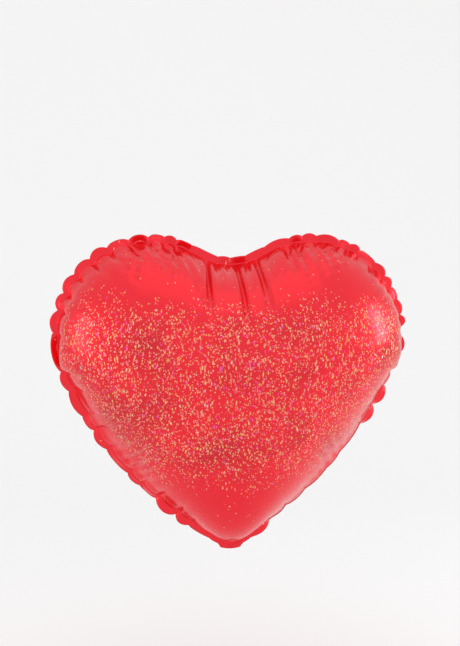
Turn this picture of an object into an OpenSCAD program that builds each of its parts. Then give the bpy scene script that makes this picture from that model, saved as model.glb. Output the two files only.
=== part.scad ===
// Heart-shaped foil balloon, inflated, with its filling tail and self-sealing valve.
// Millimetres. +Z is up, the front film faces -Y, and the origin is the fold
// line where the tail leaves the tip of the heart.

/* [Inflated heart] */
// Radius of each upper lobe along the heat seal
lobe_r = 98.5; // [90:0.5:104]
// Distance between the centres of the two lobes
lobe_spacing = 174; // [160:1:184]
// Height of the lobe centres above the tail fold
lobe_z = 240; // [230:1:254]
// Radius of the cleft between the lobes along the heat seal
cleft_r = 71.5; // [60:0.5:82]
// Radius of the long curve down each side along the heat seal
side_r = 456; // [380:4:900]
// Radius of the bottom tip along the heat seal
tip_r = 11; // [10:1:20]
// Height that the film of each side bulges above its seam
bulge_h = 99; // [75:1:105]
// How blunt the bulge is in the middle
bulge_flat = 2; // [1.8:0.1:2.6]
// How steeply the bulge rises from the seam, lower is steeper
bulge_rise = 0.58; // [0.52:0.02:0.8]

/* [Foil and seam] */
// Thickness that stands for one metallised film
foil_t = 0.5; // [0.4:0.05:0.6]
// Width of the heat-sealed margin around the heart
seam_w = 9; // [7:0.5:11]

/* [Tail] */
// Width of the filling tail
tail_w = 28; // [24:1:34]
// Length of the fixed part of the tail below its fold
tail_len = 46; // [40:1:60]
// Length of the mouth lips that open at the end of the tail
mouth_len = 16; // [10:1:20]
// Width of the seal along each edge of the tail
tail_seam_w = 3; // [2:0.5:3.5]
// Angle between the folded tail and the upright axis, behind the heart
tail_rest_angle = 58; // [54:1:70]

/* [Self-sealing valve] */
// Width of the clear valve sleeve
valve_w = 20; // [16:1:20]
// Thickness that stands for one clear valve film
valve_t = 0.25; // [0.2:0.01:0.3]
// Gap between the two valve films while gas passes
valve_gap = 0.3; // [0.2:0.05:0.4]
// Length of the sleeve inside the balloon, up to its free lips
valve_inner_len = 92; // [70:1:110]
// Length of the free lips at the inner end of the sleeve
valve_lip_len = 14; // [10:1:20]
// Length of the sleeve inside the tail
valve_outer_len = 30; // [24:1:34]
// Width of the weld along each edge of the sleeve
valve_weld_w = 2; // [1.5:0.5:3]
// Length of the heat-proof print that keeps the sleeve open in the neck
release_len = 24; // [16:1:30]

/* [Hidden] */

// Film layers that meet in the neck
print_t = 0.1;
layer_in = valve_gap / 2;
layer_out = layer_in + valve_t;
seam_t = 2 * layer_out;

// Clearances at the folds, so that a film can turn without touching its neighbour
fold_r = 2.6;
heart_edge_z = 1.6;
lip_clear = 0.6;

// Heart outline, measured along the heat seal
lobe_x = lobe_spacing / 2;
tip_z = heart_edge_z + seam_w + tip_r;
cleft_z = lobe_z + sqrt(pow(lobe_r + cleft_r, 2) - pow(lobe_x, 2));
cleft_turn = asin(lobe_x / (lobe_r + cleft_r));
lobe_c = [lobe_x, lobe_z];
tip_c = [0, tip_z];

// Centre of the side curve, which runs smoothly into the lobe and the tip
tip_to_lobe = norm(lobe_c - tip_c);
lobe_reach = side_r - lobe_r;
tip_reach = side_r - tip_r;
side_run = (pow(tip_reach, 2) - pow(lobe_reach, 2) + pow(tip_to_lobe, 2)) / (2 * tip_to_lobe);
side_rise = sqrt(pow(tip_reach, 2) - pow(side_run, 2));
run_dir = (lobe_c - tip_c) / tip_to_lobe;
side_c = tip_c + side_run * run_dir + side_rise * [-run_dir.y, run_dir.x];
lobe_end_a = atan2(lobe_c.y - side_c.y, lobe_c.x - side_c.x);
tip_end_a = atan2(tip_c.y - side_c.y, tip_c.x - side_c.x);

// Mesh density of the soft films
cleft_steps = 8;
lobe_steps = 22;
tip_steps = 6;
side_steps = 9;
rings = 13;

// Middle of the bulge and the radius that its inner contours settle to
bulge_mid_z = 210;
bulge_round_r = 136;

foil_red = [0.86, 0.07, 0.14];
seam_red = [0.62, 0.03, 0.09];
valve_clear = [0.86, 0.9, 0.94, 0.6];
print_white = [0.93, 0.93, 0.9];

// One arc of the outline: centre, radius, start and end angle from +X, steps
function arc(c, r, from, to, steps) =
    [for (i = [0 : steps - 1]) let (a = from + (to - from) * i / steps)
        c + r * [cos(a), sin(a)]];

function mirrored(points) =
    [for (i = [len(points) - 1 : -1 : 1]) [-points[i].x, points[i].y]];

// Right half from the middle of the cleft down to the tip, out by `off` from the seal
function half_outline(off) =
    concat(
        arc([0, cleft_z], cleft_r - off, -90, -90 + cleft_turn, cleft_steps),
        arc(lobe_c, lobe_r + off, 90 + cleft_turn, lobe_end_a, lobe_steps),
        arc(side_c, side_r + off, lobe_end_a, tip_end_a, side_steps),
        arc(tip_c, tip_r + off, tip_end_a, -90, tip_steps),
        [[0, tip_z - tip_r - off]]);

function outline(off) =
    let (half = half_outline(off))
    concat(half, [for (p = mirrored(half)) if (abs(p.x) > 0.001) p]);

// Point of the bulge on the ray to outline point p, s = 0 in the middle, 1 at the seal
function bulge_point(p, s, h) =
    let (mid = [0, bulge_mid_z],
         to = p - mid,
         reach = s * ((1 - s) * bulge_round_r + s * norm(to)),
         q = mid + reach * to / norm(to))
    [q.x, h * pow(1 - pow(s, bulge_flat), bulge_rise), q.y];

// Ring stations, closer together towards the seal where the film turns fastest
function station(k) = 1 - pow(1 - k / rings, 1.7);

// One foil: dome and flat margin as a closed shell, built bulging towards +Y
module foil_shell() {
    seal = outline(0);
    inner = outline(-foil_t);
    edge = outline(seam_w);
    n = len(seal);
    face_out = layer_out + foil_t;
    outer_dome = [for (k = [1 : rings]) for (p = seal)
        bulge_point(p, station(k), bulge_h - foil_t) + [0, face_out, 0]];
    inner_dome = [for (k = [rings : -1 : 1]) for (p = inner)
        bulge_point(p, station(k), bulge_h - foil_t) + [0, layer_out, 0]];
    margin = concat(
        [for (p = edge) [p.x, face_out, p.y]],
        [for (p = edge) [p.x, layer_out, p.y]]);
    points = concat(outer_dome, margin, inner_dome,
        [[0, bulge_h - foil_t + face_out, bulge_mid_z],
         [0, bulge_h - foil_t + layer_out, bulge_mid_z]]);
    loops = 2 * rings + 2;
    outer_pole = loops * n;
    inner_pole = outer_pole + 1;
    walls = [for (k = [0 : loops - 2]) for (i = [0 : n - 1])
        let (j = (i + 1) % n, a = k * n + i, b = k * n + j, c = b + n, d = a + n)
        each [[a, b, c], [a, c, d]]];
    outer_cap = [for (i = [0 : n - 1]) [outer_pole, (i + 1) % n, i]];
    last = (loops - 1) * n;
    inner_cap = [for (i = [0 : n - 1]) [inner_pole, last + i, last + (i + 1) % n]];
    polyhedron(points, concat(walls, outer_cap, inner_cap), convexity = 6);
}

module front_foil() {
    color(foil_red) mirror([0, 1, 0]) foil_shell();
}

module rear_foil() {
    color(foil_red) foil_shell();
}

// Melted sealant between the two margins, open only where the valve passes the neck
module perimeter_seam() {
    color(seam_red)
    rotate([90, 0, 0])
    translate([0, 0, -seam_t / 2])
    linear_extrude(seam_t)
    difference() {
        polygon(outline(seam_w));
        polygon(outline(0));
        translate([-valve_w / 2, 0])
            square([valve_w, 2 * (seam_w + heart_edge_z)]);
    }
}

// Flat strip of film: width, bottom, top and the two faces of the layer
module strip(w, z0, z1, y0, y1) {
    translate([-w / 2, y0, z0]) cube([w, y1 - y0, z1 - z0]);
}

// Pair of narrow strips along both edges of a film
module edge_strips(w, edge, z0, z1, t) {
    for (side = [-1, 1])
        translate([side * (w - edge) / 2, 0, 0]) strip(edge, z0, z1, -t / 2, t / 2);
}

valve_top_z = heart_edge_z + valve_inner_len;

module valve_front_film() {
    color(valve_clear) strip(valve_w, heart_edge_z, valve_top_z, -layer_out, -layer_in);
}

module valve_rear_film() {
    color(valve_clear) strip(valve_w, heart_edge_z, valve_top_z, layer_in, layer_out);
}

module valve_edge_welds() {
    color(valve_clear)
        edge_strips(valve_w, valve_weld_w, heart_edge_z, valve_top_z, valve_gap);
}

// Heat-proof ink on the inner face of the front valve film
module valve_release_print() {
    color(print_white)
        strip(valve_w - 2 * valve_weld_w, heart_edge_z, heart_edge_z + release_len,
              -layer_in, -layer_in + print_t);
}

// Free lips that part to let gas in and press shut behind it
module valve_lip(y0, y1) {
    color(valve_clear)
        strip(valve_w, valve_top_z + lip_clear, valve_top_z + valve_lip_len, y0, y1);
}

module valve_front_lip() {
    valve_lip(-layer_out, -layer_in);
}

module valve_rear_lip() {
    valve_lip(layer_in, layer_out);
}

// The tail is drawn hanging down and turned up behind the heart to its rest place
module fold_up() {
    rotate([180 - tail_rest_angle, 0, 0]) children();
}

module tail_front_foil() {
    color(foil_red) fold_up()
        strip(tail_w, -tail_len, -fold_r, -layer_out - foil_t, -layer_out);
}

module tail_rear_foil() {
    color(foil_red) fold_up()
        strip(tail_w, -tail_len, -fold_r, layer_out, layer_out + foil_t);
}

module tail_edge_seams() {
    color(seam_red) fold_up()
        edge_strips(tail_w, tail_seam_w, -tail_len, -fold_r, seam_t);
}

module valve_tail_front_film() {
    color(valve_clear) fold_up()
        strip(valve_w, -valve_outer_len, -fold_r, -layer_out, -layer_in);
}

module valve_tail_rear_film() {
    color(valve_clear) fold_up()
        strip(valve_w, -valve_outer_len, -fold_r, layer_in, layer_out);
}

module valve_tail_edge_welds() {
    color(valve_clear) fold_up()
        edge_strips(valve_w, valve_weld_w, -valve_outer_len, -fold_r, valve_gap);
}

// Open mouth: the two foils are not sealed together here
module mouth_lip(y0, y1) {
    color(foil_red) fold_up()
        strip(tail_w, -tail_len - mouth_len, -tail_len - lip_clear, y0, y1);
}

module mouth_front_lip() {
    mouth_lip(-layer_out - foil_t, -layer_out);
}

module mouth_rear_lip() {
    mouth_lip(layer_out, layer_out + foil_t);
}

front_foil();
rear_foil();
perimeter_seam();
valve_front_film();
valve_rear_film();
valve_edge_welds();
valve_release_print();
valve_front_lip();
valve_rear_lip();
tail_front_foil();
tail_rear_foil();
tail_edge_seams();
valve_tail_front_film();
valve_tail_rear_film();
valve_tail_edge_welds();
mouth_front_lip();
mouth_rear_lip();
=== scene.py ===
import math
import bmesh
import bpy
import numpy as np
from mathutils import Matrix, Vector


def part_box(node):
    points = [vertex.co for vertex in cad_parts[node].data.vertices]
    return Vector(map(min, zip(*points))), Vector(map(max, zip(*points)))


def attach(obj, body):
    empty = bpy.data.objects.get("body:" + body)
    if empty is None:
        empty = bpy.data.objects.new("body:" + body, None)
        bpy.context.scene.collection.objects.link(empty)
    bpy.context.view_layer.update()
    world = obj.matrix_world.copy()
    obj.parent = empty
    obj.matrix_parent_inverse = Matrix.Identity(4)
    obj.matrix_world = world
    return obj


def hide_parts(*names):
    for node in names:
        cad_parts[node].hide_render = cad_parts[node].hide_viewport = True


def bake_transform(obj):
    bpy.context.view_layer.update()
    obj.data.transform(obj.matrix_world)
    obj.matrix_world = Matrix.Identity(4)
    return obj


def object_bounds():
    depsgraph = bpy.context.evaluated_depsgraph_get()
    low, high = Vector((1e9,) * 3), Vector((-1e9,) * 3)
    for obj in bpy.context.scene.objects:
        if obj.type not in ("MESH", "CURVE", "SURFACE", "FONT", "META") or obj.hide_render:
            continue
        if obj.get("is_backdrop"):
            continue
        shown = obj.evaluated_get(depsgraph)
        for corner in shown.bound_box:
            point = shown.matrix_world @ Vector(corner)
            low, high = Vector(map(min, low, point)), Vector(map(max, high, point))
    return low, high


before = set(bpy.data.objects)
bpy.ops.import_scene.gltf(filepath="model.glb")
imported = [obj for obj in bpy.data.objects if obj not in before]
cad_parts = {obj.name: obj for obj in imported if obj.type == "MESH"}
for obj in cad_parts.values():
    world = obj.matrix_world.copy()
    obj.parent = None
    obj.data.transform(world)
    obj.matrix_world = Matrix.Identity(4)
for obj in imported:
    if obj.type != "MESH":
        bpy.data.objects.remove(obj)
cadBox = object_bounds()
sealLow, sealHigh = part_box("front_foil")
print("frame loaded")


# Camera: a little to one side of the balloon's face and just above it
camera = {
    "azimuth": -8.0,
    "elevation": 5.0,
    "distance": 1.675,
    "lens": 85.0,
    "aimUp": 0.0762,    # the view's middle lies this far above the heart's middle
    "aimRight": -0.0005,
}


def makeCamera():
    data = bpy.data.cameras.new("camera")
    data.lens = camera["lens"]
    cam = bpy.data.objects.new("camera", data)
    bpy.context.scene.collection.objects.link(cam)
    azimuth, elevation = math.radians(camera["azimuth"]), math.radians(camera["elevation"])
    back = Vector((math.sin(azimuth) * math.cos(elevation),
                   -math.cos(azimuth) * math.cos(elevation),
                   math.sin(elevation)))
    turn = (-back).to_track_quat("-Z", "Y")
    middle = Vector((0, 0, (sealLow.z + sealHigh.z) / 2))
    aim = middle + turn @ Vector((camera["aimRight"], camera["aimUp"], 0))
    cam.location = aim + back * camera["distance"]
    cam.rotation_mode = "QUATERNION"
    cam.rotation_quaternion = turn
    bpy.context.scene.camera = cam


makeCamera()
print("camera made")


# Small helpers shared by all pieces
def smoothStep(low, high, value):
    t = np.clip((value - low) / (high - low), 0, 1)
    return t * t * (3 - 2 * t)


def unit(vectors):
    length = np.linalg.norm(vectors, axis=-1, keepdims=True)
    return vectors / np.maximum(length, 1e-12)


def meshObject(name, points, faces):
    mesh = bpy.data.meshes.new(name)
    mesh.from_pydata([tuple(p) for p in points], [], faces)
    mesh.update()
    mesh.polygons.foreach_set("use_smooth", [True] * len(mesh.polygons))
    piece = bpy.data.objects.new(name, mesh)
    bpy.context.scene.collection.objects.link(piece)
    return piece


# Outline of the heart along its heat seal: a cleft, a lobe, a long side and a tip, all arcs
seal = {
    "cleftRadius": 0.0715,
    "lobeRadius": 0.0985,
    "sideRadius": 0.370,    # fuller than the frame's 0.456
    "tipRadius": 0.011,
    "lobeHeight": 0.2294,   # lobe centres above the seal's lowest point
    "margin": 0.009,        # heat-sealed border outside it
    "flatWidth": 0.450,     # the cut's width over its margins, before it is blown up
}


def arc(centre, radius, start, end, steps):
    angle = np.linspace(start, end, steps, endpoint=False)
    return np.stack((centre[0] + radius * np.cos(angle), centre[1] + radius * np.sin(angle)), 1)


def sealOutline(count):
    lobeRadius, tipRadius, sideRadius = seal["lobeRadius"], seal["tipRadius"], seal["sideRadius"]
    foot = sealLow.z + seal["margin"]
    lobe = np.array((sealHigh.x - seal["margin"] - lobeRadius, foot + seal["lobeHeight"]))
    tip = np.array((0, foot + tipRadius))
    both = lobeRadius + seal["cleftRadius"]
    cleft = np.array((0, lobe[1] + math.sqrt(both ** 2 - lobe[0] ** 2)))
    cleftTurn = math.asin(lobe[0] / both)
    span = np.linalg.norm(lobe - tip)
    way = (lobe - tip) / span
    run = ((sideRadius - tipRadius) ** 2 - (sideRadius - lobeRadius) ** 2 + span ** 2) / (2 * span)
    rise = math.sqrt((sideRadius - tipRadius) ** 2 - run ** 2)
    side = tip + run * way + rise * np.array((-way[1], way[0]))
    lobeEnd = math.atan2(*(lobe - side)[::-1])
    tipEnd = math.atan2(*(tip - side)[::-1])
    half = np.concatenate((
        arc(cleft, seal["cleftRadius"], -math.pi / 2, cleftTurn - math.pi / 2, 60),
        arc(lobe, lobeRadius, cleftTurn + math.pi / 2, lobeEnd, 240),
        arc(side, sideRadius, lobeEnd, tipEnd, 160),
        arc(tip, tipRadius, tipEnd, -math.pi / 2, 40),
        [(0, foot)]))
    whole = np.concatenate((half, half[-2:0:-1] * (-1, 1), half[:1]))
    along = np.concatenate(([0], np.cumsum(np.linalg.norm(np.diff(whole, axis=0), axis=1))))
    at = np.linspace(0, along[-1], count, endpoint=False)
    return np.stack([np.interp(at, along, whole[:, k]) for k in range(2)], 1)


# Inflation: two flat films, held along the seal, blown up as cloth
inflation = {
    "rings": 24,            # rings between the middle and the seal
    "frames": 20,
    "middle": 0.197,        # height of the panels' middle in the frame
    "pressure": 5.0,
    "scale": 10.0,          # the solver works on a balloon ten times as large
    "tension": 40.0,
    "compression": 0.5,     # film buckles instead of taking compression
    "shear": 2.0,
    "bending": 0.1,
    "damping": 20.0,
    "airDamping": 14.0,
    "mass": 0.3,
    "startBulge": 0.012,
}


def panelGrid(rings):
    count = 8 * rings
    outline = sealOutline(count)
    middle = np.array((0, inflation["middle"]))
    start, plan, side, ringOf = {}, [], [], []

    def addRing(key, points, panel, ring):
        start[key] = len(plan)
        plan.extend(points)
        side.extend([panel] * len(points))
        ringOf.extend([ring] * len(points))

    addRing((0, rings), outline, 0, rings)
    for panel in (1, -1):
        for ring in range(rings - 1, 0, -1):
            at = np.arange(8 * ring) * (rings / ring)
            low = np.floor(at).astype(int)
            part = (at - low)[:, None]
            points = outline[low % count] * (1 - part) + outline[(low + 1) % count] * part
            addRing((panel, ring), middle + (points - middle) * (ring / rings), panel, ring)
        addRing((panel, 0), middle[None], panel, 0)

    def vertex(panel, ring, i):
        if ring == 0:
            return start[(panel, 0)]
        return start[(0 if ring == rings else panel, ring)] + i % (8 * ring)

    faces = []
    for panel in (1, -1):
        for ring in range(1, rings + 1):
            for quarter in range(4):
                outer, inner = quarter * 2 * ring, quarter * 2 * (ring - 1)
                shift = 0 if ring == 1 else -1
                found = [[(ring, outer + shift + k) for k in range(3)] + [(ring - 1, inner)]]
                for j in range(2 * (ring - 1)):
                    found.append([(ring, outer + 1 + j), (ring, outer + 2 + j),
                                  (ring - 1, inner + j + 1), (ring - 1, inner + j)])
                for face in found:
                    corners = [vertex(panel, r, i) for r, i in face]
                    faces.append(corners[::-1] if panel == 1 else corners)
    return {"rings": rings, "start": start, "plan": np.array(plan), "side": np.array(side),
            "ring": np.array(ringOf), "faces": faces}


def betweenFour(a, b, c, d, t):
    return b + 0.5 * t * (c - a + t * (2 * a - 5 * b + 4 * c - d + t * (3 * (b - c) + d - a)))


def ringSamples(grid, co, panel, ring, count):
    if ring == 0:
        return np.repeat(co[grid["start"][(panel, 0)]][None], count, 0)
    size = 8 * ring
    first = grid["start"][(0 if ring == grid["rings"] else panel, ring)]
    own = co[first:first + size]
    at = np.arange(count) * (size / count)
    low = np.floor(at).astype(int)
    return betweenFour(*(own[(low + k) % size] for k in (-1, 0, 1, 2)), (at - low)[:, None])


def panelTable(grid, co, panel, count, stations):
    rings = grid["rings"]
    rows = [ringSamples(grid, co, panel, k, count) for k in range(rings + 1)]
    rows = np.array([np.roll(rows[1], count // 2, 0), *rows, 2 * rows[-1] - rows[-2]])
    out = []
    for station in stations:
        low = min(int(station * rings), rings - 1)
        out.append(betweenFour(*rows[low:low + 4], station * rings - low))
    return np.array(out)


def blowUp(grid, co, frames):
    scale = inflation["scale"]
    bag = meshObject("bag", co * scale, grid["faces"])
    held = bag.vertex_groups.new(name="held")
    held.add([int(i) for i in np.flatnonzero(grid["ring"] == grid["rings"])], 1.0, "REPLACE")
    cloth = bag.modifiers.new("inflate", "CLOTH")
    film = cloth.settings
    border = 2 * seal["margin"]
    slack = (seal["flatWidth"] - border) / (sealHigh.x - sealLow.x - border) - 1
    # negative shrinking: the film is cut larger than the outline that holds it
    film.shrink_min = film.shrink_max = -slack
    film.vertex_group_mass = "held"
    film.quality = 6
    film.mass = inflation["mass"]
    film.air_damping = inflation["airDamping"]
    film.tension_stiffness = inflation["tension"]
    film.compression_stiffness = inflation["compression"]
    film.shear_stiffness = inflation["shear"]
    film.bending_stiffness = inflation["bending"]
    film.tension_damping = film.compression_damping = film.shear_damping = inflation["damping"]
    film.bending_damping = 0.5
    film.use_pressure = True
    film.uniform_pressure_force = inflation["pressure"]
    film.effector_weights.gravity = 0
    cloth.collision_settings.use_collision = False
    cloth.point_cache.frame_start = 1
    cloth.point_cache.frame_end = frames
    scene = bpy.context.scene
    scene.frame_start, scene.frame_end = 1, frames
    for step in range(1, frames + 1):
        scene.frame_set(step)
    full = bag.evaluated_get(bpy.context.evaluated_depsgraph_get())
    mesh = full.to_mesh()
    out = np.zeros(len(co) * 3, np.float32)
    mesh.vertices.foreach_get("co", out)
    full.to_mesh_clear()
    bpy.data.objects.remove(bag)
    scene.frame_set(1)
    return out.reshape(-1, 3).astype(float) / scale


def inflatedBag():
    grid = panelGrid(inflation["rings"])
    lift = inflation["startBulge"] * (1 - (grid["ring"] / grid["rings"]) ** 2)
    co = np.stack((grid["plan"][:, 0], -grid["side"] * lift, grid["plan"][:, 1]), 1)
    co = blowUp(grid, co, inflation["frames"])
    print("inflated, size", np.round(np.ptp(co, axis=0), 4))
    return grid, co


bagGrid, bagPoints = inflatedBag()


# Finished films: the blown-up bag sampled finely, then drawn in and puckered along the seal
foil = {
    "around": 1280,         # points along the seal, halved at each band further in
    "bands": ((0.72, 0.0092), (0.40, 0.016), (0.20, 0.028), (0.10, 0.033), (0.05, 0.025)),
    "innerStep": 4,         # the inside wall keeps one ring in this many
    "marginRings": 6,
    "thickness": 0.0003,
    "bond": 0.00012,        # half the thickness of the sealant between the margins
    "neckGap": 0.0004,      # half the gap where the valve passes between the films
    "neckWidth": 0.011,
}

# Puckers: share of the way round from the cleft over the right lobe (0 to 1),
# spacing of the puckers, how deep they draw the seal in, and how far they reach
puckers = {
    "seed": 11,
    "stops": (
        (0.00, 0.026, 0.0002, 0.070),
        (0.045, 0.024, 0.0004, 0.070),
        (0.085, 0.019, 0.0020, 0.040),
        (0.13, 0.016, 0.0028, 0.034),
        (0.20, 0.014, 0.0030, 0.028),
        (0.27, 0.018, 0.0020, 0.024),
        (0.34, 0.032, 0.0022, 0.024),
        (0.44, 0.028, 0.0024, 0.024),
        (0.49, 0.020, 0.0006, 0.012),
        (0.51, 0.020, 0.0006, 0.012),
        (0.56, 0.028, 0.0034, 0.024),
        (0.68, 0.026, 0.0040, 0.026),
        (0.74, 0.031, 0.0042, 0.030),
        (0.82, 0.028, 0.0042, 0.034),
        (0.88, 0.017, 0.0034, 0.040),
        (0.925, 0.019, 0.0030, 0.040),
        (0.955, 0.024, 0.0005, 0.070),
        (1.00, 0.026, 0.0002, 0.070),
    ),
    # share round the seal, and how far the margin leans back there, radians
    "leans": ((0.0, 0.0), (0.12, 0.1), (0.22, 0.35), (0.29, 1.0), (0.45, 1.05), (0.48, 0.0), (0.52, 0.0),
              (0.56, 0.45), (0.64, 0.50), (0.72, 0.2), (0.90, 0.1), (1.0, 0.0)),
    "ruffle": 0.0022,       # how far the seal swings forwards and back
    "leafTilt": 0.75,       # how far the margin leaves tip, radians
    "proud": 0.0032,        # how far the middle of a leaf stands out past the mean seal
}

# Rows of short pleats just inside the seal: where they start and end round the seal,
# their spacing and height, and the band of distances from the seal that they lie in
pleats = (
    (0.165, 0.40, 0.0056, 0.00016, 0.016, 0.036),
    (0.075, 0.125, 0.0062, 0.00014, 0.008, 0.038),
    (0.85, 0.915, 0.0068, 0.00016, 0.012, 0.044),
    (0.00, 0.05, 0.0036, 0.00010, 0.000, 0.006),
    (0.95, 1.00, 0.0036, 0.00010, 0.000, 0.006),
)


def puckerRows(share, run):
    rng = np.random.default_rng(puckers["seed"])
    stops = np.array(puckers["stops"])
    at, places = 0.0, []
    while at < 1:
        places.append(at)
        at += np.interp(at, stops[:, 0], stops[:, 1]) * rng.uniform(0.62, 1.38) / run
    places = np.array(places)
    count = len(places)
    depth = np.interp(places, stops[:, 0], stops[:, 2]) * rng.uniform(0.55, 1.35, count)
    swing = rng.uniform(-1, 1, count)
    tilt = rng.uniform(-1, 1, count)
    gap = np.diff(np.append(places, places[0] + 1))
    left = np.clip(np.searchsorted(places, share, side="right") - 1, 0, count - 1)
    within = (share - places[left]) / gap[left]
    right = (left + 1) % count
    ease = within * within * (3 - 2 * within)
    bulge = np.sin(np.pi * np.clip(within, 0, 1)) ** 0.75
    reach = np.interp(share, stops[:, 0], stops[:, 3])
    return {
        "stated": np.interp(share, stops[:, 0], stops[:, 2]),
        "fold": rng.uniform(0.25, 1.25, count)[np.where(within < 0.5, left, right)],
        "depth": (depth[left] * (1 - ease) + depth[right] * ease) * (1 - bulge),
        "swing": swing[left] * (1 - ease) + swing[right] * ease,
        "tilt": tilt[left] * bulge,
        "bulge": bulge,
        "reach": reach,
        "nearest": np.minimum(within, 1 - within) * gap[left] * run,
    }


def pleatHeight(share, inward, run):
    rng = np.random.default_rng(puckers["seed"] + 1)
    total = np.zeros(np.broadcast(share, inward).shape)
    for begin, end, spacing, height, near, far in pleats:
        knots = int((end - begin) * run / spacing) + 2
        wander = np.interp(share, np.linspace(begin, end, knots), rng.uniform(-0.9, 0.9, knots))
        strength = np.interp(share, np.linspace(begin, end, knots), rng.uniform(0.35, 1.0, knots))
        offset = np.interp(share, np.linspace(begin, end, knots), rng.uniform(-0.15, 0.15, knots))
        ends = 0.175 * (end - begin)
        along = smoothStep(begin, begin + ends, share) * (1 - smoothStep(end - ends, end, share))
        if begin <= 0 or end >= 1:
            along = np.where((share >= begin) & (share <= end), 1.0, 0.0)
        width = far - near
        low = near + width * offset
        across = smoothStep(low, low + width * 0.35, inward)
        across = across * (1 - smoothStep(low + width * 0.55, low + width, inward))
        if near <= 0:
            across = 1 - smoothStep(0.3 * far, far, inward)
        wave = np.sin(2 * np.pi * share * run / spacing + wander)
        total = total + height * strength * along * across * wave
    return total


sealRun = np.linalg.norm(np.diff(sealOutline(2000), axis=0), axis=1).sum() * 2000 / 1999


def stationsOf():
    found, at, count = [(1.0, foil["around"])], 1.0, foil["around"]
    for end, step in foil["bands"]:
        steps = max(1, round((at - end) / step))
        found += [(at + (end - at) * (k + 1) / steps, count) for k in range(steps)]
        at, count = end, count // 2
    return found


def filmSurface(panel):
    count = foil["around"]
    stations = [s for s, _ in stationsOf()]
    share = np.arange(count) / count
    table = panelTable(bagGrid, bagPoints, panel, count, stations)
    # the blown-up bag is shallower than the frame's, so its depth is scaled to match
    table[..., 1] *= np.abs(sealLow.y) / np.abs(table[..., 1]).max()
    rows = puckerRows(share, sealRun)
    lively = smoothStep(0.012, 0.030, np.abs(share - 0.5) * sealRun)
    edge = table[0]
    along = unit(np.roll(edge, -2, 0) - np.roll(edge, 2, 0))
    outward = unit(np.stack((-along[:, 2], 0 * share, along[:, 0]), 1))
    step = np.linalg.norm(np.diff(table, axis=0), axis=2)
    inward = np.concatenate((np.zeros((1, count)), np.cumsum(step, 0)))
    across = np.gradient(table, axis=0)
    around = np.roll(table, -1, 1) - np.roll(table, 1, 1)
    normal = unit(np.cross(around, across))
    middleNormal = np.array((0, -panel, 0))
    if (normal[-1] @ middleNormal).mean() < 0:
        normal = -normal
    near = np.exp(-inward / 0.006)[..., None]
    way = unit(normal * (1 - near) + outward[None] * near)
    fade = np.exp(-(inward / rows["reach"]) ** 1.4)
    narrow = np.exp(-(rows["nearest"] / (0.0016 + 0.10 * inward)) ** 2)
    wide = smoothStep(0.0, 0.012, inward)
    proud = puckers["proud"] * np.minimum(rows["depth"].max(), rows["stated"]) / 0.0042
    drawn = rows["depth"] * fade * (1 - 0.5 * wide) - proud * fade * (1 - wide)
    crease = rows["fold"] * np.minimum(rows["reach"], 0.036) / 0.03 * 0.0010
    crease = crease * narrow * np.exp(-(inward / (0.8 * rows["reach"])) ** 2)
    table = table - way * (lively * (drawn + crease * smoothStep(0, 0.004, inward)))[..., None]
    table = table + way * (pleatHeight(share[None], inward, sealRun) * lively)[..., None]
    sway = puckers["ruffle"] * rows["swing"] * lively
    table[..., 1] += sway * np.exp(-inward / 0.010)
    return {"table": table, "outward": outward, "share": share, "inward": inward,
            "rows": rows, "lively": lively}


surfaces = {panel: filmSurface(panel) for panel in (1, -1)}


def marginSurface():
    front, rear = surfaces[1], surfaces[-1]
    edge = (front["table"][0] + rear["table"][0]) / 2
    edge[:, 1] *= front["lively"]
    rows, lively = front["rows"], front["lively"]
    leans = np.array(puckers["leans"])
    lean = np.interp(front["share"], leans[:, 0], leans[:, 1])
    tilt = (puckers["leafTilt"] * rows["tilt"] + lean) * lively
    reach = np.arange(1, foil["marginRings"] + 1) / foil["marginRings"] * seal["margin"]
    outward = front["outward"]
    lag = 1 - 0.16 * (1 - rows["bulge"]) * lively
    out = [edge]
    for far in reach:
        tip = tilt * smoothStep(0, 0.004, far)
        shift = outward * (np.cos(tip) * lag)[:, None] + np.array((0, 1, 0)) * np.sin(tip)[:, None]
        out.append(edge + shift * far)
    return np.array(out)


margin = marginSurface()
for surface in surfaces.values():
    surface["table"][0] = margin[0]


def halfGap(share):
    neck = 1 - smoothStep(foil["neckWidth"], 2 * foil["neckWidth"], np.abs(share - 0.5) * sealRun)
    return foil["bond"] + (foil["neckGap"] - foil["bond"]) * neck


def wallRows(panel, lift):
    surface = surfaces[panel]
    count = foil["around"]
    whole = np.concatenate((margin[:0:-1], surface["table"]))
    across = np.gradient(whole, axis=0)
    around = np.roll(whole, -1, 1) - np.roll(whole, 1, 1)
    normal = unit(np.cross(around, across))
    if (normal[-1] @ np.array((0, -panel, 0))).mean() < 0:
        normal = -normal
    gap = halfGap(surface["share"])
    edge = len(margin) - 1
    toInside = np.zeros(len(whole))
    toInside[edge + 3:] = 1
    toInside[edge:edge + 3] = (0.2, 0.5, 0.8)
    return whole + normal * (gap[None] * (1 - toInside)[:, None] + lift)[..., None]


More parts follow.
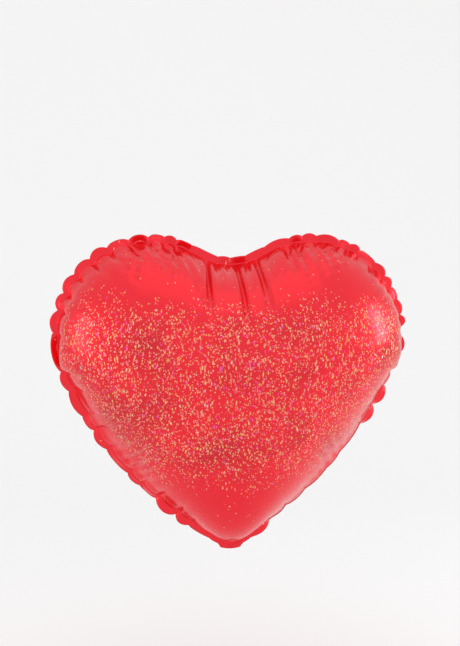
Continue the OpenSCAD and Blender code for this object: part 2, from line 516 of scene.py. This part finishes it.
def buildFoil(name, panel):
    count = foil["around"]
    outer = wallRows(panel, foil["thickness"])
    inner = wallRows(panel, 0.0)
    counts = [count] * (len(margin) - 1) + [c for _, c in stationsOf()]
    points, faces, inward = [], [], []
    depths = np.concatenate((np.zeros((len(margin) - 1, count)), surfaces[panel]["inward"]))

    def addRow(row, size, depth):
        first = len(points)
        points.extend(row[::count // size])
        inward.extend(depth[::count // size])
        return first, size

    def join(a, b, flip):
        (first, size), (second, fewer) = a, b
        for i in range(fewer):
            j = (i + 1) % fewer
            if size == fewer:
                found = [[first + i, first + j, second + j, second + i]]
            else:
                k = size // fewer
                fan = [first + (i * k + n) % size for n in range(k + 1)]
                half = k // 2
                found = [[second + i, fan[n], fan[n + 1]] for n in range(half)]
                found.append([second + i, fan[half], second + j])
                found += [[second + j, fan[n], fan[n + 1]] for n in range(half, k)]
            faces.extend(f[::-1] if flip else f for f in found)

    def wall(rows, keep, flip):
        kept = [addRow(rows[k], counts[k], depths[k]) for k in keep]
        for a, b in zip(kept, kept[1:]):
            join(a, b, flip)
        points.append(rows[keep[-1]][::count // counts[keep[-1]]].mean(0))
        inward.append(depths[-1].mean())
        first, size = kept[-1]
        pole = len(points) - 1
        for i in range(size):
            face = [first + i, first + (i + 1) % size, pole]
            faces.append(face[::-1] if flip else face)
        return kept[0]

    everyRow = list(range(len(counts)))
    edge = len(margin) - 1
    last = len(counts) - 1
    fewRows = [0, edge // 2, edge, *range(edge + 2, last, foil["innerStep"]), last]
    front = panel == 1
    rim = wall(outer, everyRow, front)
    lining = wall(inner, fewRows, not front)
    join(lining, rim, front)
    piece = meshObject(name, points, faces)
    print(name, "triangles", sum(len(f) - 2 for f in faces))
    return piece, np.array(inward)


frontFoil, frontInward = buildFoil("frontFoil", 1)
rearFoil, rearInward = buildFoil("rearFoil", -1)


# Sealed border between the two margins, open where the valve passes the neck
def buildSealBand():
    count = foil["around"]
    share = surfaces[1]["share"]
    passage = np.abs(share - 0.5) * sealRun < neck["halfWidth"]
    order = np.concatenate((np.arange(count)[share >= 0.5], np.arange(count)[share < 0.5]))
    order = order[~passage[order]]
    rows = margin[:, order]
    half = foil["bond"] * 0.9
    ring = np.concatenate((rows + (0, half, 0), rows[::-1] - (0, half, 0)))
    return loftMesh("sealBand", ring.transpose(1, 0, 2))


def loftMesh(name, rings):
    count, size = len(rings), len(rings[0])
    faces = []
    for k in range(count - 1):
        for i in range(size):
            j = (i + 1) % size
            faces.append((k * size + i, k * size + j, (k + 1) * size + j, (k + 1) * size + i))
    half = size // 2
    for first, flip in ((0, True), ((count - 1) * size, False)):
        for i in range(half - 1):
            face = (first + i, first + i + 1, first + size - 2 - i, first + size - 1 - i)
            faces.append(face[::-1] if flip else face)
    points = [tuple(p) for ring in rings for p in ring]
    piece = meshObject(name, points, faces)
    work = bmesh.new()
    work.from_mesh(piece.data)
    bmesh.ops.recalc_face_normals(work, faces=work.faces)
    work.to_mesh(piece.data)
    work.free()
    return piece


# Tail: a flat tube of film that leaves the tip, folds back behind it and ends in two lips
neck = {"halfWidth": 0.0105, "lap": 0.0016}

tail = {
    "halfWidth": 0.014,
    "length": 0.046,        # fold to the root of the lips
    "lips": 0.016,
    "tilt": 32,             # degrees above level, behind the heart
    "foldRadius": 0.00089,
    "edgeSeal": 0.0027,
    "thickness": 0.00028,
    "columns": 40,
    "seed": 5,
}

valve = {
    "halfWidth": 0.010,
    "top": 0.0936,          # root of the inner lips
    "lips": 0.0140,
    "outer": 0.030,         # how far it runs down the tail
    "weld": 0.0018,
    "gap": 0.00008,
    "thickness": 0.00009,
}

tailWay = np.array((math.cos(math.radians(tail["tilt"])), math.sin(math.radians(tail["tilt"]))))


def tailPath(distance):
    radius = tail["foldRadius"]
    turn = math.radians(90 + tail["tilt"])
    top = radius * (math.cos(math.radians(tail["tilt"]))
                    + (1 + math.sin(math.radians(tail["tilt"]))) * math.tan(math.radians(tail["tilt"])))
    bend = radius * turn
    out = []
    start = radius * (1 + math.sin(math.radians(tail["tilt"]))) / tailWay[0] - bend
    for s in distance:
        t = s - start
        if t < 0:
            out.append(((0, top - t), (-1, 0)))
        elif t < bend:
            a = t / radius
            place = (radius - radius * math.cos(a), top - radius * math.sin(a))
            out.append((place, (-math.cos(a), -math.sin(a))))
        else:
            out.append((tuple(tailWay * s), (tailWay[1], -tailWay[0])))
    return np.array(out)


def strip(name, path, halfWidth, low, high, columns, inset=0.0, starts=None):
    across = np.linspace(-1, 1, columns + 1)
    rings = []
    for row, (place, way) in enumerate(path):
        x = across * halfWidth[row]
        if inset:
            x = inset + (across + 1) / 2 * (halfWidth[row] - inset)
        shift = np.zeros(len(x)) if starts is None else starts(row, x)
        bottom, top = low(row, x), high(row, x)
        y = [place[0] + way[0] * d for d in (bottom, top)]
        z = [place[1] + way[1] * d + shift for d in (bottom, top)]
        rings.append(np.concatenate((np.stack((x, y[0], z[0]), 1), np.stack((x, y[1], z[1]), 1)[::-1])))
    return loftMesh(name, np.array(rings))


waveTable = np.random.default_rng(tail["seed"]).uniform(-1, 1, (4, 2))


def tailWave(distance, x):
    grown = smoothStep(0.004, 0.020, distance) * (1 - smoothStep(0.036, tail["length"], distance))
    total = 0
    for k, (turn, size) in enumerate(waveTable):
        phase = distance * (30 + 19 * k) + x * (22 - 26 * k) + turn
        total = total + 0.00028 * size * np.cos(2 * np.pi * phase)
    return grown * total


def tailGap(distance, x):
    loose = 1 - smoothStep(valve["halfWidth"], tail["halfWidth"] - tail["edgeSeal"], np.abs(x))
    full = np.clip(1 - (x / (tail["halfWidth"] - tail["edgeSeal"])) ** 2, 0, 1)
    pillow = 0.0006 * full * np.sin(np.pi * np.clip(distance / tail["length"], 0, 1))
    return 0.00012 + 0.00028 * loose + pillow


tipRound = seal["tipRadius"] + seal["margin"]
tailRows = np.concatenate((
    np.linspace(-0.0022 - neck["lap"], -0.0012, 8),
    np.linspace(-0.0009, 0.0030, 14),
    np.linspace(0.0042, tail["length"], 46)))


def neckShare(distance):
    return 1 - smoothStep(-0.0022 - neck["lap"], -0.0002, distance)


def foldShare(distance):
    return smoothStep(-0.0022, -0.0004, distance) * (1 - smoothStep(0.002, 0.015, distance))


def tailWidth(distance):
    return tail["halfWidth"] - 0.0022 * foldShare(distance) + 0.0002 * neckShare(distance)


def lapShift(rows):
    def shift(row, x):
        drop = tipRound - np.sqrt(tipRound ** 2 - x ** 2)
        return (neckShare(rows[row]) + 0.5 * foldShare(rows[row])) * drop
    return shift


def layer(rows, side, thickness, gapOf, waveOf):
    def offset(row, x, extra):
        lift = 0.00032 * neckShare(rows[row])
        return waveOf(rows[row], x) + side * (gapOf(rows[row], x) + extra + lift)

    def near(row, x):
        return offset(row, x, 0)

    def far(row, x):
        return offset(row, x, thickness)

    return (near, far) if side > 0 else (far, near)


tailPieces = {}
for name, side in (("tailFront", 1), ("tailRear", -1)):
    low, high = layer(tailRows, side, tail["thickness"], tailGap, tailWave)
    tailPieces[name] = strip(name, tailPath(tailRows), tailWidth(tailRows), low, high, tail["columns"],
                             starts=lapShift(tailRows))


def twoRibbons(name, rows, path, inner, outer, half, waveOf, starts=None):
    parts = []

    def low(row, x):
        return waveOf(rows[row], x) - half

    def high(row, x):
        return waveOf(rows[row], x) + half

    for side in (1, -1):
        parts.append(strip(name + str(side), path, side * outer, low, high, 4,
                           inset=side * inner, starts=starts))
    work = bmesh.new()
    for part in parts:
        work.from_mesh(part.data)
        bpy.data.objects.remove(part)
    mesh = bpy.data.meshes.new(name)
    work.to_mesh(mesh)
    work.free()
    piece = bpy.data.objects.new(name, mesh)
    bpy.context.scene.collection.objects.link(piece)
    return piece


sealRows = tailRows[tailRows > -0.0006]
tailPieces["tailSeals"] = twoRibbons(
    "tailSeals", sealRows, tailPath(sealRows), tail["halfWidth"] - tail["edgeSeal"] + 0.0002,
    tailWidth(sealRows) - 0.0001, 0.00011, tailWave, starts=lapShift(sealRows))


# The two lips of the mouth, curling a little apart
lipRows = np.linspace(tail["length"], tail["length"] + tail["lips"], 26)


def lipGap(distance, x):
    out = (distance - tail["length"]) / tail["lips"]
    return tailGap(tail["length"], x) + 0.0011 * out ** 2 + 0.0004 * out * (x / tail["halfWidth"]) ** 2


def lipWave(distance, x):
    out = (distance - tail["length"]) / tail["lips"]
    return 0.00035 * out * np.sin(2 * np.pi * (x / 0.021 + 0.35))


mouthPieces = {}
for name, side in (("mouthFront", 1), ("mouthRear", -1)):
    low, high = layer(lipRows, side, tail["thickness"], lipGap, lipWave)
    mouthPieces[name] = strip(name, tailPath(lipRows), np.full(len(lipRows), tail["halfWidth"]), low, high,
                              tail["columns"])


# Clear valve sleeve, from the tail through the neck to its free lips inside the heart
def sleeveWave(height, x):
    rise = smoothStep(0.028, 0.050, height) * (1 - smoothStep(0.070, valve["top"], height))
    slow = 0.0009 * np.sin(2 * np.pi * height / 0.041)
    quick = 0.0004 * np.sin(2 * np.pi * (height / 0.029 + x / 0.024))
    return rise * (slow + quick)


def upright(heights):
    return np.array([((0, z), (-1, 0)) for z in heights])


def plainGap(distance, x):
    return valve["gap"] + 0 * x


sleeveHeights = np.linspace(0.0019, valve["top"], 70)
sleeveLipHeights = np.linspace(valve["top"], valve["top"] + valve["lips"], 20)
sleeveTailRows = np.concatenate((np.linspace(-0.0004, 0.0030, 12), np.linspace(0.0040, valve["outer"], 30)))


def sleeveLipGap(height, x):
    out = (height - valve["top"]) / valve["lips"]
    return valve["gap"] + 0.0005 * out ** 2


sleevePieces = {}
for name, side in (("Front", 1), ("Rear", -1)):
    thick = valve["thickness"]
    wide = valve["halfWidth"]
    low, high = layer(sleeveHeights, side, thick, plainGap, sleeveWave)
    sleevePieces["valve" + name] = strip("valve" + name, upright(sleeveHeights), np.full(70, wide),
                                         low, high, 16)
    low, high = layer(sleeveLipHeights, side, thick, sleeveLipGap, sleeveWave)
    sleevePieces["valveLip" + name] = strip("valveLip" + name, upright(sleeveLipHeights), np.full(20, wide),
                                            low, high, 16)
    low, high = layer(sleeveTailRows, side, thick, plainGap, tailWave)
    sleevePieces["valveTail" + name] = strip("valveTail" + name, tailPath(sleeveTailRows),
                                             np.full(len(sleeveTailRows), wide), low, high, 16,
                                             starts=lapShift(sleeveTailRows))
weldInner = valve["halfWidth"] - valve["weld"]
weldOuter = valve["halfWidth"] - 0.0001
weldHalf = valve["gap"] * 0.9
sleevePieces["valveWelds"] = twoRibbons(
    "valveWelds", sleeveHeights, upright(sleeveHeights), weldInner,
    np.full(len(sleeveHeights), weldOuter), weldHalf, sleeveWave)
sleevePieces["valveTailWelds"] = twoRibbons(
    "valveTailWelds", sleeveTailRows, tailPath(sleeveTailRows), weldInner,
    np.full(len(sleeveTailRows), weldOuter), weldHalf, tailWave, starts=lapShift(sleeveTailRows))


# Heat-proof print that keeps the sleeve open in the neck: rows of round dots
release = {
    "width": 0.0140,
    "height": 0.0225,
    "spacing": 0.00125,
    "radius": 0.00042,
    "thickness": 0.00006,
    "foot": 0.0022,
}


def dotTree():
    tree = bpy.data.node_groups.new("printDots", "GeometryNodeTree")
    names = ("Width", "Height", "Spacing", "Radius", "Thickness")
    for name in names:
        tree.interface.new_socket(name, in_out="INPUT", socket_type="NodeSocketFloat")
    tree.interface.new_socket("Ink", in_out="INPUT", socket_type="NodeSocketMaterial")
    tree.interface.new_socket("Geometry", in_out="OUTPUT", socket_type="NodeSocketGeometry")
    given = tree.nodes.new("NodeGroupInput")
    result = tree.nodes.new("NodeGroupOutput")

    def maths(operation, a, b):
        made = tree.nodes.new("ShaderNodeMath")
        made.operation = operation
        for socket, value in zip(made.inputs, (a, b)):
            if isinstance(value, bpy.types.NodeSocket):
                tree.links.new(value, socket)
            else:
                socket.default_value = value
        return made.outputs[0]

    across = maths("FLOOR", maths("DIVIDE", given.outputs["Width"], given.outputs["Spacing"]), 0.0)
    upward = maths("FLOOR", maths("DIVIDE", given.outputs["Height"], given.outputs["Spacing"]), 0.0)
    grid = tree.nodes.new("GeometryNodeMeshGrid")
    tree.links.new(given.outputs["Width"], grid.inputs["Size X"])
    tree.links.new(given.outputs["Height"], grid.inputs["Size Y"])
    tree.links.new(across, grid.inputs["Vertices X"])
    tree.links.new(upward, grid.inputs["Vertices Y"])
    index = tree.nodes.new("GeometryNodeInputIndex")
    odd = maths("MODULO", index.outputs[0], 2.0)
    slide = maths("MULTIPLY", maths("SUBTRACT", odd, 0.5), maths("MULTIPLY", given.outputs["Spacing"], 0.5))
    offset = tree.nodes.new("ShaderNodeCombineXYZ")
    tree.links.new(slide, offset.inputs["Y"])
    place = tree.nodes.new("GeometryNodeSetPosition")
    tree.links.new(grid.outputs["Mesh"], place.inputs["Geometry"])
    tree.links.new(offset.outputs[0], place.inputs["Offset"])
    dot = tree.nodes.new("GeometryNodeMeshCylinder")
    dot.inputs["Vertices"].default_value = 14
    tree.links.new(given.outputs["Radius"], dot.inputs["Radius"])
    tree.links.new(given.outputs["Thickness"], dot.inputs["Depth"])
    spread = tree.nodes.new("GeometryNodeInstanceOnPoints")
    tree.links.new(place.outputs[0], spread.inputs["Points"])
    tree.links.new(dot.outputs["Mesh"], spread.inputs["Instance"])
    whole = tree.nodes.new("GeometryNodeRealizeInstances")
    tree.links.new(spread.outputs[0], whole.inputs[0])
    painted = tree.nodes.new("GeometryNodeSetMaterial")
    tree.links.new(whole.outputs[0], painted.inputs["Geometry"])
    tree.links.new(given.outputs["Ink"], painted.inputs["Material"])
    tree.links.new(painted.outputs[0], result.inputs[0])
    return tree


def buildPrint(ink):
    tree = dotTree()
    carrier = meshObject("printCarrier", [(0, 0, 0)], [])
    dots = carrier.modifiers.new("dots", "NODES")
    dots.node_group = tree
    values = {"Width": release["width"], "Height": release["height"], "Spacing": release["spacing"],
              "Radius": release["radius"], "Thickness": release["thickness"], "Ink": ink}
    for item in tree.interface.items_tree:
        if item.in_out == "INPUT":
            dots[item.identifier] = values[item.name]
    bpy.context.view_layer.update()
    full = carrier.evaluated_get(bpy.context.evaluated_depsgraph_get())
    mesh = bpy.data.meshes.new_from_object(full)
    bpy.data.objects.remove(carrier)
    rise = Matrix.Translation((0, 0, release["foot"] + release["height"] / 2))
    mesh.transform(rise @ Matrix.Rotation(math.pi / 2, 4, "X"))
    piece = bpy.data.objects.new("releasePrint", mesh)
    bpy.context.scene.collection.objects.link(piece)
    return piece


sealBand = buildSealBand()
print("tail, lips and valve made")


# Finishes
def newMaterial(name):
    material = bpy.data.materials.new(name)
    material.use_nodes = True
    tree = material.node_tree
    return material, tree, tree.nodes["Principled BSDF"]


def addNode(tree, kind, settings=(), **inputs):
    made = tree.nodes.new(kind)
    for key, value in dict(settings).items():
        setattr(made, key, value)
    for key, value in inputs.items():
        numbered = key[0] == "i" and key[1:].isdigit()
        socket = made.inputs[int(key[1:]) if numbered else key.replace("_", " ")]
        if isinstance(value, bpy.types.NodeSocket):
            tree.links.new(value, socket)
        else:
            socket.default_value = value
    return made


def doMaths(tree, operation, a, b=0.0):
    return addNode(tree, "ShaderNodeMath", {"operation": operation}, i0=a, i1=b).outputs[0]


def rescale(tree, value, low, high, toLow, toHigh):
    made = addNode(tree, "ShaderNodeMapRange", {"clamp": True}, Value=value,
                   From_Min=low, From_Max=high, To_Min=toLow, To_Max=toHigh)
    return made.outputs[0]


def noise(tree, place, scale, detail, **more):
    made = addNode(tree, "ShaderNodeTexNoise", Vector=place, Scale=scale, Detail=detail, **more)
    return made.outputs["Fac"]


def vectorMaths(tree, operation, **given):
    return addNode(tree, "ShaderNodeVectorMath", {"operation": operation}, **given).outputs[0]


def mixColour(tree, amount, a, b):
    made = tree.nodes.new("ShaderNodeMix")
    made.data_type = "RGBA"
    for socket, value in ((made.inputs[0], amount), (made.inputs[6], a), (made.inputs[7], b)):
        if isinstance(value, bpy.types.NodeSocket):
            tree.links.new(value, socket)
        else:
            socket.default_value = value
    return made.outputs[2]


def ramp(tree, value, stops):
    made = tree.nodes.new("ShaderNodeValToRGB")
    tree.links.new(value, made.inputs[0])
    elements = made.color_ramp.elements
    while len(elements) < len(stops):
        elements.new(0.5)
    for element, (place, colour) in zip(elements, stops):
        element.position = place
        element.color = (*colour, 1)
    return made


filmFinish = {
    "red": (0.86, 0.022, 0.036),
    "deepRed": (0.60, 0.020, 0.030),
    "roughness": 0.27,
    "metallic": 0.93,
    "coat": 0.3,
    "coatRoughness": 0.16,
    # painted glint colours of the flecks, each from its share of the draw upwards
    "paintedGlintTints": (
        (0.0, (0.95, 0.42, 0.26)),
        (0.34, (0.93, 0.55, 0.30)),
        (0.55, (0.80, 0.50, 0.16)),
        (0.72, (0.95, 0.22, 0.30)),
        (0.86, (0.90, 0.12, 0.50)),
        (0.96, (0.62, 0.58, 0.52)),
    ),
    # fleck layers: size of a fleck in metres, stretch, turn in degrees, share of cells lit; each layer
    # paints glint colours into the base colour (painted glints) and tilts the flecks' normals
    "flecks": (
        (0.0023, 1.0, 0, 0.34),
        (0.0019, 1.0, 20, 0.30),
        (0.0021, 0.36, 32, 0.26),
        (0.0021, 0.36, -48, 0.26),
    ),
}


def sparkleMask(tree, place, size, stretch, turn, lit, density):
    mapping = addNode(tree, "ShaderNodeMapping", Vector=place)
    mapping.inputs["Rotation"].default_value = (0, math.radians(turn), 0)
    mapping.inputs["Scale"].default_value = (1 / size, 1 / size, stretch / size)
    cells = addNode(tree, "ShaderNodeTexVoronoi", Vector=mapping.outputs[0], Scale=1.0)
    draw = addNode(tree, "ShaderNodeSeparateColor", Color=cells.outputs["Color"])
    threshold = doMaths(tree, "MULTIPLY", density, lit)
    chosen = doMaths(tree, "LESS_THAN", draw.outputs[0], threshold)
    spot = rescale(tree, cells.outputs["Distance"], 0.30, 0.42, 1.0, 0.0)
    return doMaths(tree, "MULTIPLY", chosen, spot), draw, cells


def holographicFoil():
    material, tree, shader = newMaterial("holographicFoil")
    place = addNode(tree, "ShaderNodeTexCoord").outputs["Object"]
    # The mark read here says where glint colours and a darker red mottle are painted into the base colour:
    # painted glints and painted shade.
    reach = addNode(tree, "ShaderNodeAttribute", {"attribute_name": "paintedGlints"}).outputs["Fac"]
    drift = noise(tree, place, 22.0, 3.0, Roughness=0.6)
    uneven = doMaths(tree, "MULTIPLY", doMaths(tree, "SUBTRACT", drift, 0.5), 0.7)
    density = rescale(tree, doMaths(tree, "ADD", reach, uneven), 0.12, 0.75, 0.015, 1.0)
    shade = rescale(tree, noise(tree, place, 16.0, 2.0), 0.42, 0.68, 0.0, 0.75)
    shade = doMaths(tree, "MULTIPLY", shade, density)
    colour = mixColour(tree, shade, (*filmFinish["red"], 1), (*filmFinish["deepRed"], 1))
    normal = addNode(tree, "ShaderNodeNewGeometry").outputs["Normal"]
    total = None
    # Each layer paints a glint colour into the base colour of its lit cells (painted glints) and also tilts
    # their normals, so lamps light them for real too.
    for size, stretch, turn, lit in filmFinish["flecks"]:
        mask, draw, cells = sparkleMask(tree, place, size, stretch, turn, lit, density)
        glintTint = ramp(tree, draw.outputs[1], filmFinish["paintedGlintTints"])
        glintTint.color_ramp.interpolation = "CONSTANT"
        strength = rescale(tree, draw.outputs[2], 0.0, 1.0, 0.35, 1.0)
        amount = doMaths(tree, "MULTIPLY", mask, strength)
        colour = mixColour(tree, amount, colour, glintTint.outputs[0])
        tilt = vectorMaths(tree, "SUBTRACT", i0=cells.outputs["Color"], i1=(0.5, 0.5, 0.5))
        tilt = vectorMaths(tree, "SCALE", i0=tilt, Scale=doMaths(tree, "MULTIPLY", mask, 0.5))
        normal = vectorMaths(tree, "ADD", i0=normal, i1=tilt)
        total = mask if total is None else doMaths(tree, "MAXIMUM", total, mask)
    normal = vectorMaths(tree, "NORMALIZE", i0=normal)
    grain = noise(tree, place, 420.0, 2.0)
    smooth = filmFinish["roughness"]
    rough = rescale(tree, grain, 0.3, 0.7, smooth - 0.03, smooth + 0.05)
    rough = doMaths(tree, "ADD", rough, doMaths(tree, "MULTIPLY", total, 0.16))
    bump = addNode(tree, "ShaderNodeBump", Strength=0.06, Distance=0.0004, Height=grain, Normal=normal)
    tree.links.new(colour, shader.inputs["Base Color"])
    tree.links.new(rough, shader.inputs["Roughness"])
    tree.links.new(bump.outputs[0], shader.inputs["Normal"])
    shader.inputs["Metallic"].default_value = filmFinish["metallic"]
    shader.inputs["Coat Weight"].default_value = filmFinish["coat"]
    shader.inputs["Coat Roughness"].default_value = filmFinish["coatRoughness"]
    return material


# Where painted glints go on the films: they fade in above the foot, fade out near the top and fade out near
# the seal, following where light catches the sparkle rather than any change in the film.
paintedGlintReach = {
    "low": 0.075,
    "lowFade": 0.075,
    "top": 0.300,
    "topFade": 0.075,
    "rim": 0.012,
    "rimFade": 0.030,
}


# Stores on each point how much painted glint it gets, from its height and its distance in from the seal.
def markPaintedGlints(piece, inward):
    co = np.array([v.co for v in piece.data.vertices])
    across = np.abs(co[:, 0]) / sealHigh.x
    top = paintedGlintReach["top"] + 0.012 * across
    rise = smoothStep(paintedGlintReach["low"] - 0.03, paintedGlintReach["low"] + paintedGlintReach["lowFade"], co[:, 2])
    fall = 1 - smoothStep(top - paintedGlintReach["topFade"], top, co[:, 2])
    rim = smoothStep(paintedGlintReach["rim"], paintedGlintReach["rim"] + paintedGlintReach["rimFade"], inward)
    attribute = piece.data.attributes.new("paintedGlints", "FLOAT", "POINT")
    attribute.data.foreach_set("value", (rise * fall * rim).astype(np.float32))


foilMaterial = holographicFoil()
for piece, node, inward in ((frontFoil, "front_foil", frontInward), (rearFoil, "rear_foil", rearInward)):
    markPaintedGlints(piece, inward)
    piece.data.materials.append(foilMaterial)
    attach(piece, "heart")
    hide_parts(node)


# Plain foil of the tail, melted sealant, clear valve film and the release print
def plainFoil():
    material, tree, shader = newMaterial("plainFoil")
    place = addNode(tree, "ShaderNodeTexCoord").outputs["Object"]
    grain = noise(tree, place, 380.0, 2.0)
    cloud = noise(tree, place, 70.0, 3.0)
    fade = rescale(tree, cloud, 0.3, 0.7, 0.0, 0.5)
    colour = mixColour(tree, fade, (*filmFinish["red"], 1), (*filmFinish["deepRed"], 1))
    rough = rescale(tree, grain, 0.3, 0.7, 0.2, 0.3)
    creases = addNode(tree, "ShaderNodeTexNoise", {"noise_type": "RIDGED_MULTIFRACTAL"},
                      Vector=place, Scale=90.0, Detail=3.0).outputs["Fac"]
    bump = addNode(tree, "ShaderNodeBump", Strength=0.12, Distance=0.0004, Height=creases)
    tree.links.new(colour, shader.inputs["Base Color"])
    tree.links.new(rough, shader.inputs["Roughness"])
    tree.links.new(bump.outputs[0], shader.inputs["Normal"])
    shader.inputs["Metallic"].default_value = filmFinish["metallic"]
    shader.inputs["Coat Weight"].default_value = filmFinish["coat"]
    shader.inputs["Coat Roughness"].default_value = filmFinish["coatRoughness"]
    return material


def tintedPlastic(name, light, dark, roughness, scale, transmission=0.0, alpha=1.0):
    material, tree, shader = newMaterial(name)
    place = addNode(tree, "ShaderNodeTexCoord").outputs["Object"]
    cloud = noise(tree, place, scale, 3.0)
    colour = mixColour(tree, cloud, (*light, 1), (*dark, 1))
    rough = rescale(tree, cloud, 0.3, 0.7, roughness - 0.05, roughness + 0.06)
    bump = addNode(tree, "ShaderNodeBump", Strength=0.08, Distance=0.0002, Height=cloud)
    tree.links.new(colour, shader.inputs["Base Color"])
    tree.links.new(rough, shader.inputs["Roughness"])
    tree.links.new(bump.outputs[0], shader.inputs["Normal"])
    shader.inputs["Transmission Weight"].default_value = transmission
    shader.inputs["Alpha"].default_value = alpha
    return material


plain = plainFoil()
bondStuff = tintedPlastic("sealBond", (0.30, 0.012, 0.020), (0.22, 0.008, 0.014), 0.42, 160.0)
clearFilm = tintedPlastic("clearFilm", (0.92, 0.94, 0.96), (0.84, 0.88, 0.92), 0.16, 120.0, 0.6, 0.5)
ink = tintedPlastic("releaseInk", (0.86, 0.85, 0.80), (0.74, 0.73, 0.68), 0.62, 900.0)
releasePrint = buildPrint(ink)

onHeart = ((sealBand, bondStuff, "perimeter_seam", "seal_bond"),
           (sleevePieces["valveFront"], clearFilm, "valve_front_film", "valve_film"),
           (sleevePieces["valveRear"], clearFilm, "valve_rear_film", "valve_film"),
           (sleevePieces["valveWelds"], clearFilm, "valve_edge_welds", "valve_film"),
           (releasePrint, None, "valve_release_print", "release_print"))
for piece, material, node, slot in onHeart:
    if material:
        piece.data.materials.append(material)
    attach(piece, "heart")
    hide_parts(node)

onTail = ((tailPieces["tailFront"], plain, "tail_front_foil", "plain_foil"),
          (tailPieces["tailRear"], plain, "tail_rear_foil", "plain_foil"),
          (tailPieces["tailSeals"], bondStuff, "tail_edge_seams", "seal_bond"),
          (sleevePieces["valveTailFront"], clearFilm, "valve_tail_front_film", "valve_film"),
          (sleevePieces["valveTailRear"], clearFilm, "valve_tail_rear_film", "valve_film"),
          (sleevePieces["valveTailWelds"], clearFilm, "valve_tail_edge_welds", "valve_film"))
for piece, material, node, slot in onTail:
    piece.data.materials.append(material)
    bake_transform(piece)
    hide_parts(node)

for name, body in (("mouthFront", "front_mouth_lip"), ("mouthRear", "rear_mouth_lip")):
    piece = mouthPieces[name]
    piece.data.materials.append(plain)
    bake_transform(piece)
    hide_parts("mouth_front_lip" if name == "mouthFront" else "mouth_rear_lip")
for name, body in (("valveLipFront", "front_valve_lip"), ("valveLipRear", "rear_valve_lip")):
    piece = sleevePieces[name]
    piece.data.materials.append(clearFilm)
    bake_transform(piece)
    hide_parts("valve_front_lip" if name == "valveLipFront" else "valve_rear_lip")

# The seal outline sampled at 4000 points
ring = sealOutline(4000)


# Plain floor that curves up into a backdrop
room = {"floor": -0.16, "near": -4.0, "wall": 2.2, "curve": 1.2, "halfWidth": 5.0, "top": 3.5}


def makeRoom():
    profile = [(room["near"], room["floor"])]
    for k in range(13):
        angle = math.radians(90 * k / 12)
        profile.append((room["wall"] - room["curve"] + room["curve"] * math.sin(angle),
                        room["floor"] + room["curve"] * (1 - math.cos(angle))))
    profile.append((room["wall"], room["top"]))
    points, faces = [], []
    for y, z in profile:
        points += [(-room["halfWidth"], y, z), (room["halfWidth"], y, z)]
    for k in range(len(profile) - 1):
        faces.append((2 * k, 2 * k + 1, 2 * k + 3, 2 * k + 2))
    piece = meshObject("floor", points, faces)
    material = bpy.data.materials.new("paleFloor")
    material.use_nodes = True
    shader = material.node_tree.nodes["Principled BSDF"]
    shader.inputs["Base Color"].default_value = (0.90, 0.90, 0.90, 1)
    shader.inputs["Roughness"].default_value = 0.9
    piece.data.materials.append(material)
    piece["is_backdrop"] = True


makeRoom()


def softBox(name, place, size, power):
    data = bpy.data.lights.new(name, "AREA")
    data.shape = "RECTANGLE"
    data.size, data.size_y = size
    data.energy = power
    light = bpy.data.objects.new(name, data)
    bpy.context.scene.collection.objects.link(light)
    light.location = place
    light.rotation_mode = "QUATERNION"
    light.rotation_quaternion = (Vector((0, 0, 0.2)) - Vector(place)).to_track_quat("-Z", "Y")


softBox("leftWindow", (-1.6, -0.35, 0.45), (0.5, 1.0), 3)
softBox("rightWindow", (1.5, -0.25, 0.55), (0.35, 0.8), 4.5)
softBox("overhead", (0.0, -0.3, 2.0), (1.6, 1.2), 1.5)

world = bpy.data.worlds.new("studio")
world.use_nodes = True
world.node_tree.nodes["Background"].inputs["Color"].default_value = (1, 1, 1, 1)
world.node_tree.nodes["Background"].inputs["Strength"].default_value = 0.97
bpy.context.scene.world = world
bpy.context.scene.view_settings.view_transform = "Standard"

low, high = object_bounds()
{"cad": [list(cadBox[0]), list(cadBox[1])], "visual": [list(low), list(high)]}
